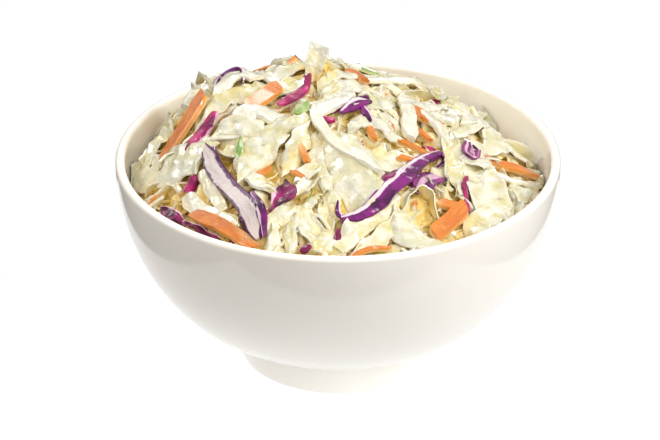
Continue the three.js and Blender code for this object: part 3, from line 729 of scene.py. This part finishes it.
BROAD_LEAVES = (
    ([(-9, 17, -3), (-8, 20, 3), (-6, 24, 9.2)], 5.4, 1.2, -0.2, 0.1),
    ([(-68, 2, 0.2), (-59, -13, 1.3), (-51, -19, 1.5), (-43, -21, 1)], 15, 1.2, -0.1, 0.2),
    ([(-5, -17, 0.2), (4, -28, 1.7), (13, -38, 0.6)], 19, 1.4, 0, 0.1),
    ([(46, -4, 0), (49, -17, 0.9), (52, -32, 0.2)], 12, 1.4, 0, 0.1),
    ([(49, 8, 0), (57, 14, 0.7), (66, 12, 0)], 11, 1, 0.1, 0.2),
)
CARROTS = (
    ([(-20, 29, -1), (-14, 35, 1.4)], 3.6, 2.4, 0.2, 0.2),
    ([(-45, 8, 3.8), (-50, 0, 4.2), (-55, -6, 3.2), (-59, -9, 1.4)], 5.4, 2.2, 0.1, 0.1),
    ([(-20, 13, 1.4), (-24, 6, 1.8), (-31, -3, 0.4)], 6.2, 2.2, 0.1, 0.2),
    ([(-47, -38, 1.4), (-41, -45, 2), (-35, -51, 1.8), (-27, -58, 0.8)], 5, 2.4, 0.2, 0.2),
    ([(-27, -33, 0.2), (-22, -30, 0.6)], 2, 1.2, 0, 0.2),
    ([(-13, -17, 0.2), (-10, -26, 0.8)], 2.6, 1.2, 0, 0.3),
    ([(-15, -31, 0.4), (-10, -35, 0.8)], 2.4, 1.2, 0.3, 0.2),
    ([(4, 30, 0), (9, 24, 1.2)], 4, 2.2, 0, 0.2),
    ([(27, 15, 1), (29, 8, 1.2)], 3.6, 2, 0.2, 0.2),
    ([(29, 9, 0.8), (35, 7, 1.2)], 2.4, 1.8, 0.2, 0.2),
    ([(27, 3, 0.8), (31, 0, 1)], 2.4, 1.6, 0.2, 0.2),
    ([(20, -8, 0.8), (30, -7, 1.2)], 2.4, 1.6, 0.2, 0.3),
    ([(10, -7, 1), (12, -12, 1.2)], 2.4, 1.6, 0.2, 0.3),
    ([(20, -15, 0.6), (26, -14, 0.8)], 2.6, 1.6, 0.2, 0.3),
    ([(33, -31, 0.4), (39, -32, 1.2)], 4, 2, 0.1, 0.1),
    ([(42, -31, 1.4), (36, -40, 2), (31, -49, 1)], 6.2, 2.4, -0.1, 0.1),
    ([(54, 0, 0.8), (61, 2, 1.2), (68, 4, 0.8)], 3.6, 2, 0.1, 0.2),
    ([(50, 1, 0.6), (53, -2, 0.8)], 2.8, 1.6, 0, 0.2),
    ([(3, -60, 0.2), (10, -57, 0.4), (17, -56, 0)], 1.8, 1.4, 0.2, 0.2),
    ([(-39, -6, 0.2), (-35, -13, 0.4)], 3, 1.2, 0.2, 0.3),
)
PURPLE_STRIPS = (
    ([(1, -48, 1), (6, -47, 1.8), (11, -43, 2.2), (16, -37, 2.2), (21, -29, 2.2), (24, -21, 2.2),
      (29, -12, 1.8), (34, -4, 1)], 6.6, 2, 0.1, 0.3),
    ([(0, -42, 1), (0, -46, 1), (2, -48, 1.2)], 2, 1, 0, 0.3),
    ([(34, -4, 1), (36, -7, 1.6), (33, -12, 0.8)], 1.6, 1, 0.4, 0.6),
    ([(-2, -3, 0.6), (4, 2, 1.6), (11, 11, 1.4)], 3.6, 1.2, 0.2, 0.6),
    ([(1, -4, 1.4), (6, 0, 2.4), (11, 3, 2)], 4.4, 1.2, -0.2, 0.6),
    ([(8, 0, 1.8), (11, -6, 2.2)], 3.4, 1.2, 0.2, 0.3),
    ([(-24, -56, 1.2), (-25, -50, 2.9), (-28, -43, 2.6)], 3.4, 1.2, 0.1, 0.2),
    ([(-41, -20, 1.4), (-40, -25, 1.8), (-37, -30, 1.6)], 1.4, 1, 0, 0.2),
)
MAGENTA_STRIPS = (
    ([(-41, -3, 1.6), (-43, -9, 2.8), (-46, -13, 2.8), (-50, -16, 1.4)], 4.2, 1.6, 0.3, 0.3),
    ([(-20, 1, 0.8), (-15, 4, 1.8), (-12, 11, 1.8), (-10, 23, 0.8)], 4.2, 1.2, 0.1, 0.6),
    ([(43, -12, 0.8), (42, -21, 1.4), (43, -32, 0.8)], 2.2, 1, 0.2, 0.6),
    ([(-7, -8, 0.6), (-1, -8, 0.8)], 2.8, 1.4, 0.2, 0.2),
    ([(0, -55, 0.6), (0, -51, 0.8)], 2.4, 1.4, 0, 0.2),
    ([(-50, -30, 1.2), (-47, -27, 1.2)], 3.4, 2.4, 0, 0),
    ([(-70, -7, 0), (-67, -12, 0.4)], 2.2, 1.4, 0, 0),
    ([(-12, -61, 0.2), (-9, -59, 0.4)], 2.8, 1.6, 0, 0),
)
LILAC_SLICES = (
    ([(-45, -15, 1.4), (-42, -24, 1.8), (-41, -28, 2), (-35, -38, 2.2), (-30, -46, 2.2), (-28, -51, 1.7),
      (-26, -56, 0.9)], 6.4, 2, -0.1, 0.3),
    ([(-42, 14, 0.6), (-40, 23, 2), (-35, 27, 2.8), (-32, 23, 1.6), (-32, 17, 0.4)], 2.6, 1.4, 0.2, 0.3),
)
# Dark red cabbage, all skin: a chunk, a wrinkled leaf in two parts, and in the last two rows dark sheets that
# are painted shade beside the long purple strip.
DARK_PIECES_AND_SHADE = (
    ([(-22, -49, 0.6), (-18, -43, 1.8), (-17, -36, 1.2)], 8, 1.6, 0.2, 0.5),
    ([(-58, -31, 1.4), (-54, -36, 2.4), (-50, -40, 1.6)], 6, 1.4, 0.3, 0.8),
    ([(-51, -39, 1.6), (-46, -45, 1.6), (-38, -52, 0.6)], 3, 1.2, 0.2, 0.8),
    ([(12, -36, 0.8), (17, -29, 1.4), (22, -20, 1)], 3.6, 1.2, 0.5, 0.3),
    ([(23, -33, 0.2), (28, -27, 0.8)], 5, 1, 0, 0.2),
)
PINK_LEAVES = (
    ([(26, -29, 0.6), (30, -22, 1.4), (35, -17, 0.6)], 7.6, 0.9, 0.1, 0.3),
    ([(44, 6, 0.6), (43, -2, 1.4), (46, -4, 1.2), (48, 5, 0.8)], 3, 1, 0.2, 0.4),
    ([(45, -4, 0.8), (45, 2, 1.4)], 4.4, 0.8, 0.3, 0.4),
)
HERBS = (
    ([(-14, -6, 1.2), (-10, -1, 2)], 5, 0.6, 0.1, 0.2),
    ([(-33, -28, 2.6), (-32, -21, 2.8)], 3, 0.6, 0.2, 0.2),
    ([(8, 33, 1.2), (14, 32, 1.6)], 3, 0.6, 0.2, 0.2),
    ([(-11, -46, 0.8), (-8, -39, 1.2)], 1, 0.5, 0.2, 0.2),
)


def all_round(table):
    """A table's pieces, and again those that come to lie wholly past y = 30 mm when turned 166 degrees
    round the axis, so that the back is laid as the front is."""
    c, s = math.cos(BACK_TURN), math.sin(BACK_TURN)
    again = [([(c * x - s * y, s * x + c * y, lift) for x, y, lift in path], *sizes)
             for path, *sizes in table]
    return [*table, *(row for row in again if min(y for _, y, _ in row[0]) > BACK_CLEAR_Y)]


LONG_ROWS = 26
STRIP_RING = section(7)
CUT_RING = section(7, bevel=0.6)
LEAF_RING = section(13, 0.96, 0.7, thin=0.2)
SHRED_RING = section(2, 0.8, 0.6, thin=0.2)
FLAKE_RING = section(5, 0.93, 0.6, thin=0.2)


def placed(table, ring, uneven=0.0, slim=1.0, **shape):
    """Listed pieces of one kind as rings of points, each rolled by a further uneven bit."""
    spine = np.stack([smooth_path(laid(path), LONG_ROWS) for path, *_ in table])
    width, thickness, roll, twist = np.array([sizes for _, *sizes in table], float).T
    roll = roll + draw.normal(0, uneven, len(table))
    return shaped(spine, ring, width, thickness * slim, roll=roll, twist=twist, **shape)


def off_back_right(rings):
    """Pieces without those at the back right, x > 20 and y > 30 mm, where the heap is all white."""
    middle = rings.mean((1, 2))
    return rings[(middle[:, 0] < WHITE_CORNER_X) | (middle[:, 1] < WHITE_CORNER_Y)]


def points_of(*kinds):
    """Points of those pieces, at every second row and every fourth place round."""
    return np.concatenate([rings[:, ::2, ::4].reshape(-1, 3) for rings in kinds])


all_ribs, all_leaves = all_round(WHITE_RIBS), all_round(LEAVES)
many = len(all_leaves)
broad_leaves = placed(BROAD_LEAVES, LEAF_RING, ragged=0.08, ends=(0.98, 0.5, 0.75, 0.8, 0.6), taper=0.12,
                      wave=0.5, dent=(0.2, 0.8, 0.9, 0.8, 0.7), curl=(0.1, -0.2, -0.18, 0.15, -0.2),
                      fold=(0.3, 0.15, -0.2, 0.15, 0.2), widen=(0.35, 0, 0, 0.15, 0),
                      slant=(0.2, 0.5, -0.4, 0.3, 0.4))
shown_ribs = placed(all_ribs, STRIP_RING, uneven=0.2, ragged=0.14, ends=0.6, dent=0.5, knobs=0.2, curl=-0.1,
                    taper=0.12, slant=draw.uniform(-0.9, 0.9, len(all_ribs)))
shown_leaves = placed(all_leaves, LEAF_RING, uneven=0.25, slim=0.6, ragged=0.24, ends=0.4, wave=0.8, dent=0.9,
                      curl=draw.normal(-0.1, 0.2, many), fold=draw.normal(0, 0.35, many), taper=0.22,
                      slant=draw.uniform(-0.9, 0.9, many))
shown_carrots = placed(all_round(CARROTS), STRIP_RING, ragged=0.07, ends=0.7, taper=0.12, slant=0.5)
shown_purple = placed(all_round(PURPLE_STRIPS), CUT_RING, ragged=0.07, ends=0.4, taper=0.35, wave=0.2)
shown_magenta = placed(all_round(MAGENTA_STRIPS), CUT_RING, ragged=0.08, ends=0.6, dent=0.3)
shown_lilac = placed(all_round(LILAC_SLICES), STRIP_RING, ragged=0.06, ends=0.25, taper=0.14, dent=0.2,
                     widen=0.22)
shown_dark = placed(all_round(DARK_PIECES_AND_SHADE), CUT_RING, ragged=0.3, ends=0.15, taper=0.45, dent=1.1, wave=0.7)
shown_pink = placed(all_round(PINK_LEAVES), STRIP_RING, ragged=0.2, ends=0.4, dent=0.5, wave=0.3)
shown_herbs = placed(all_round(HERBS), STRIP_RING, ragged=0.12, ends=0.3, taper=0.5, wave=0.2)
shown_purple, shown_dark = off_back_right(shown_purple), off_back_right(shown_dark)
coloured = points_of(shown_carrots, shown_purple, shown_magenta, shown_lilac, shown_dark, shown_pink,
                     shown_herbs)
on_top = points_of(broad_leaves, shown_ribs, shown_leaves)


def scattered(count, rows, ring, length, width, thickness, depth, shift, **shape):
    """Loose pieces of one kind, sunk where they would hide the pieces on top."""
    spine = kept_under(scatter(count, rows, length, depth, shift), on_top)
    spine = kept_under(spine, coloured, reach=4.0, by=3.8)
    return shaped(
        spine, ring, draw.uniform(*width, count), draw.uniform(*thickness, count),
        roll=draw.normal(0, TILT, count), twist=draw.normal(0, 0.8, count), fold=draw.normal(0, 0.4, count),
        curl=draw.normal(0, 0.3, count), ends=draw.uniform(0.2, 0.8, count),
        slant=draw.uniform(-1.0, 1.0, count), **shape)


# Count, rows, ring, then the ranges of length, width, thickness and depth, and the spiral's shift.
low_shreds = scattered(260, 8, SHRED_RING, (14, 28), (3.0, 6.0), (1.0, 1.8), (2.2, 4.6), 0.0,
                       wave=0.4, dent=0.3)
top_shreds = scattered(190, 9, SHRED_RING, (12, 28), (2.6, 5.0), (0.9, 1.8), (0.0, 2.6), 1.1,
                       wave=0.4, dent=0.4, ragged=0.2)
flakes = scattered(175, 11, FLAKE_RING, (9, 20), (5, 10.5), (0.9, 1.6), (0.0, 3.2), 2.3,
                   wave=1.0, dent=0.9, ragged=0.2)
ribs = scattered(60, 9, FLAKE_RING, (8, 18), (3.6, 6.4), (1.8, 3.2), (0.4, 2.8), 3.1,
                 ragged=0.16, knobs=0.35, dent=0.3)
few_carrots = scattered(30, 8, SHRED_RING, (8, 20), (2.0, 3.6), (1.2, 2.0), (0.2, 2.8), 4.0, ragged=0.1)
few_purples = scattered(9, 9, SHRED_RING, (8, 22), (2.2, 4.2), (1.0, 1.6), (0.0, 2.0), 5.0, wave=0.3)
few_magentas = scattered(13, 8, SHRED_RING, (5, 16), (2.0, 3.6), (1.0, 1.6), (0.0, 2.4), 5.3, wave=0.3)
few_herbs = scattered(14, 5, SHRED_RING, (3, 5), (1.6, 2.8), (0.4, 0.6), (0.0, 1.0), 5.6, wave=0.15)

# Further flakes, kept only on the steep slopes at the back, where the others leave the core bare.
steep_flakes = scattered(170, 11, FLAKE_RING, (9, 18), (4, 9), (0.9, 1.6), (0.6, 3.2), 1.7,
                         wave=0.8, dent=0.7, ragged=0.2)
middle = steep_flakes.mean((1, 2))
steep = heap_normal(middle[:, 0], middle[:, 1])[:, 2] < STEEP_NORMAL
steep_flakes = steep_flakes[(middle[:, 1] > STEEP_FROM_Y) & steep]

# White cabbage, shredded: pale cream with whiter rims, crumpled, filmed with dressing.
cabbage = dressed("shredded_white_cabbage", "#C8C7AD", "#C8BF7E", "#D7D6C8", "#DADACE", 0.5, creased=0.8)
# Its leaves, cut into flakes: the same flesh, more creased.
cabbage_leaf = dressed("white_cabbage_leaf", "#C9C8AD", "#C9BF7D", "#D8D6C8", "#DADACE", 0.5, creased=1.0)
# Its thick ribs, cut across: whiter and firmer, with clearer veins.
cabbage_rib = dressed("white_cabbage_rib", "#D5D3C2", "#CCC6A3", "#E4E3D9", "#DFDFD3", 0.55, 0.2, creased=0.5)
# Carrot, cut into strips: bright orange, with strong streaks along the cut and little film.
carrot = dressed("shredded_carrot", "#D07204", "#B25A04", "#DE8C28", "#E0AE78", -0.45, 0.5)
# Fresh green herb, chopped.
herb = dressed("chopped_herb", "#7FA542", "#4E7630", "#A4BE70", "#C7D4A0", 0.0, 0.2)
# Red cabbage, cut: purple strips bare along one edge, pale slices with a purple rim, dark pieces all skin,
# partly real dark chunks and partly dark sheets painted as shade beside the long strip, pink inner leaves
# bare in the middle, and magenta shreds.
purple = red_cabbage("red_cabbage_skin", "#7C1A72", "#420E42", "#DACDD4", 0.25, 0.8)
lilac = red_cabbage("red_cabbage_cut", "#5E165E", "#3C0E3E", "#CFC3BF", -0.7, 0.62)
dark = red_cabbage("red_cabbage_dark", "#8C1E60", "#3E0A28", "#DDB8C8", 0.62, 1.4)
pink = red_cabbage("red_cabbage_inner_leaf", "#8C3A7A", "#4E1644", "#CDA6BE", -0.35, 0.3)
magenta = red_cabbage("red_cabbage_magenta", "#B41E6A", "#6A1044", "#E0AACA", 0.78, 1.4)

high = tops([broad_leaves, low_shreds, top_shreds, flakes, steep_flakes, ribs, few_carrots, few_purples,
             few_magentas, shown_ribs, shown_leaves, shown_carrots, shown_purple, shown_magenta, shown_lilac,
             shown_dark, shown_pink])
heap_core = core()
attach(heap_core, "root")
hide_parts("coleslaw")
pieces("cabbage_shreds", [(low_shreds, SHRED_RING), (top_shreds, SHRED_RING)], cabbage)
pieces("cabbage_leaves", [(broad_leaves, LEAF_RING), (shown_leaves, LEAF_RING), (flakes, FLAKE_RING),
                         (steep_flakes, FLAKE_RING)], cabbage_leaf)
pieces("cabbage_ribs", [(shown_ribs, STRIP_RING), (ribs, FLAKE_RING)], cabbage_rib)
pieces("carrot_strips", [(shown_carrots, STRIP_RING), (few_carrots, SHRED_RING)], carrot)
pieces("red_cabbage_strips", [(shown_purple, CUT_RING), (few_purples, SHRED_RING)], purple)
pieces("red_cabbage_slices", [(shown_lilac, STRIP_RING)], lilac)
pieces("red_cabbage_shreds", [(shown_magenta, CUT_RING), (few_magentas, SHRED_RING)], magenta)
# Dark red cabbage: real dark pieces, and dark sheets that are painted shade beside the long purple strip.
pieces("red_cabbage_dark_and_shaded", [(shown_dark, CUT_RING)], dark)
pieces("red_cabbage_leaves", [(shown_pink, STRIP_RING)], pink)
pieces("herb_bits", [(shown_herbs, STRIP_RING), (few_herbs, SHRED_RING)], herb)

# ---- stage ----


def stage_floor():
    """Plain white table, a flat square of 240 mm, lit through from below so that shadows stay faint."""
    made, tree = new_tree("white_light_table")
    surface = add(tree, "BsdfPrincipled", {
        "Base Color": colour("#636363"), "Roughness": 0.9,
        "Emission Color": colour("#FFFFFF"), "Emission Strength": 0.91})
    add(tree, "OutputMaterial", {"Surface": surface})
    corners = np.array([(-1, -1, 0), (1, -1, 0), (1, 1, 0), (-1, 1, 0)]) * TABLE_HALF - (0, 0, TABLE_DROP)
    mesh_object("floor", corners, np.array([[0, 1, 2, 3]]), made)


def softbox(name, at, size, power):
    """Square white area light aimed at the heap."""
    data = bpy.data.lights.new(name, "AREA")
    data.shape = "SQUARE"
    data.size = size
    data.energy = power
    lamp = bpy.data.objects.new(name, data)
    bpy.context.scene.collection.objects.link(lamp)
    lamp.location = at
    aim = Vector((0, 0, AIM_Z)) - Vector(at)
    lamp.rotation_euler = aim.to_track_quat("-Z", "Y").to_euler()


def sky():
    """White surroundings: plain white as seen, and as light warm, brighter the higher it comes from."""
    world = bpy.data.worlds.new("studio")
    bpy.context.scene.world = world
    world.use_nodes = True
    tree = world.node_tree
    tree.nodes.clear()
    seen = add(tree, "LightPath", out="Is Camera Ray")
    up = add(tree, "SeparateXYZ", {0: add(tree, "TexCoord", out="Generated")}, out=2)
    scrim = add(tree, "MapRange", {"Value": up, "From Min": -0.1, "From Max": 0.9, "To Min": 0.12,
                                   "To Max": 0.98})
    strength = add(tree, "MapRange", {"Value": seen, "To Min": scrim, "To Max": 1.0})
    tone = add(tree, "Mix", {0: seen, MIX_A: colour("#FFF8EF"), MIX_B: colour("#FFFFFF")}, **COLOURS)
    light = add(tree, "Background", {"Color": tone, "Strength": strength})
    add(tree, "OutputWorld", {"Surface": light})


def view_camera():
    """Camera 1.2 m from the bowl, 27.7 degrees over it."""
    data = bpy.data.cameras.new("camera")
    data.sensor_width = SENSOR_WIDTH
    data.lens = LENS
    camera = bpy.data.objects.new("camera", data)
    bpy.context.scene.collection.objects.link(camera)
    camera.location = CAMERA_AT
    camera.rotation_euler = (math.radians(90 - CAMERA_TILT), 0, 0)
    bpy.context.scene.camera = camera


stage_floor()
softbox("right", (1.1, -0.15, 0.85), 0.45, 9.4)
softbox("front", (0.5, -0.85, 0.65), 1.1, 7.8)
softbox("left", (-0.8, 0.25, 0.7), 0.4, 4.0)
softbox("back", (-0.1, 1.0, 0.85), 0.3, 2.0)
sky()
view_camera()
bpy.context.scene.view_settings.view_transform = "Standard"
